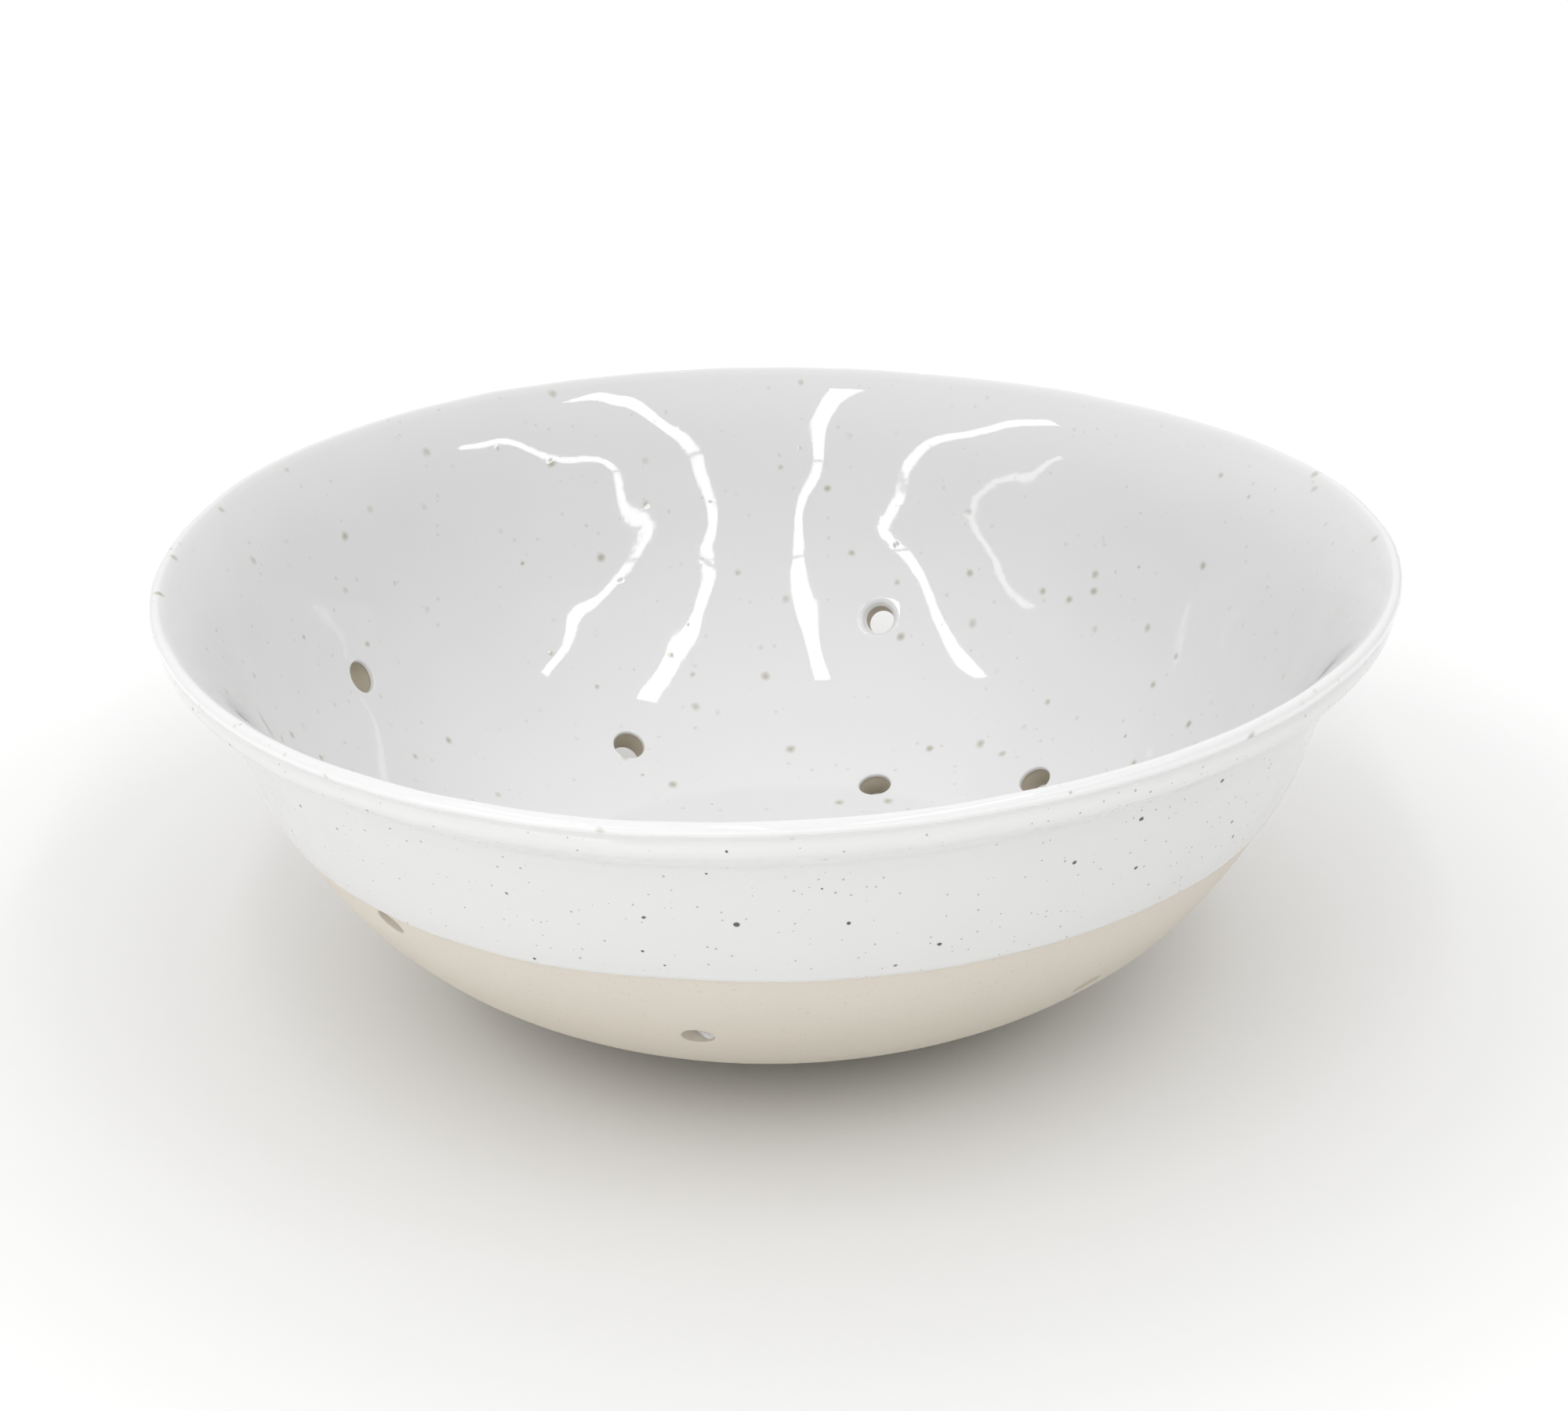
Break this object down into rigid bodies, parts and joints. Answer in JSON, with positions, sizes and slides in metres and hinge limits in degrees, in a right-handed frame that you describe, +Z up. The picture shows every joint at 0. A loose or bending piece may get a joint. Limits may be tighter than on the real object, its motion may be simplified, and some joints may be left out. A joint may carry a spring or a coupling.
{
  "type": "colander",
  "caption": "Round stoneware bowl colander with a rolled lip, a foot ring and scattered drain holes, glazed inside and round the upper outside, with a bare clay belly.",
  "frame": {"origin": "centre of the foot ring's resting plane", "axes": "+Z up along the axis of the bowl, -Y towards the camera of the picture"},
  "size_m": [0.25, 0.25, 0.09],
  "materials": {
    "bare_clay": "unglazed pinkish-beige stoneware, fine grained, satin",
    "liner_glaze": "glossy white glaze with soft olive-brown specks",
    "dip_glaze": "glossy white glaze with sharp grey-brown specks"
  },
  "bodies": {
    "root": {"stoneware_body": "bare_clay", "inside_glaze": "liner_glaze", "outside_glaze_band": "dip_glaze"}
  },
  "joints": []
}
